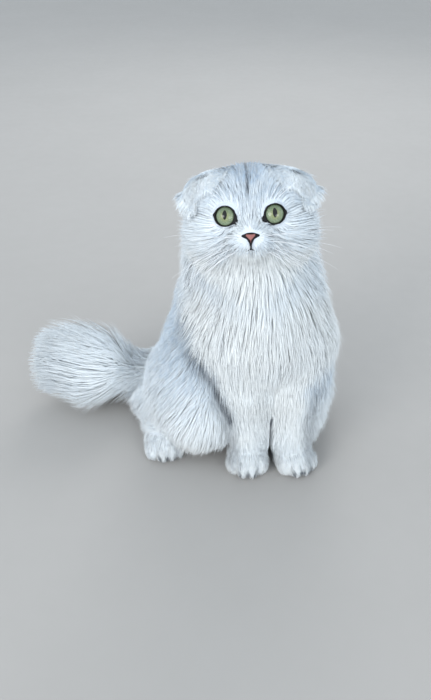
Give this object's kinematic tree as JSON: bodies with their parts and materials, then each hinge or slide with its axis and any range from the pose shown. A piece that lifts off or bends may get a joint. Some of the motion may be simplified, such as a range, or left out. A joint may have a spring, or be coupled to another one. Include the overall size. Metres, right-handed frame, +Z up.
{
  "type": "scottish fold cat",
  "caption": "Life-size still model of a longhaired fold-eared silver cat that sits upright, looks up, and lays a bushy tail out to one side.",
  "frame": {"origin": "on the floor, under the middle of the cat's box", "axes": "+Z up; +X towards the cat's own left side, away from its tail; the cat faces -Y"},
  "size_m": [0.3688, 0.219, 0.3424],
  "materials": {
    "coat": "long, soft, silver-shaded white fur with blue-grey tips on crown, back, flanks and tail",
    "eye": "wet, clear eye with a pale green iris and a black slit pupil",
    "nose_leather": "moist brick-pink nose leather with a black rim"
  },
  "bodies": {
    "root": {"head": "coat", "ear_right": "coat", "ear_left": "coat", "eye_right": "eye", "eye_left": "eye", "nose": "nose_leather", "neck": "coat", "torso": "coat", "front_leg_right": "coat", "front_leg_left": "coat", "front_paw_right": "coat", "front_paw_left": "coat", "hind_leg_right": "coat", "hind_leg_left": "coat", "hind_paw_right": "coat", "hind_paw_left": "coat", "tail": "coat"}
  },
  "joints": []
}
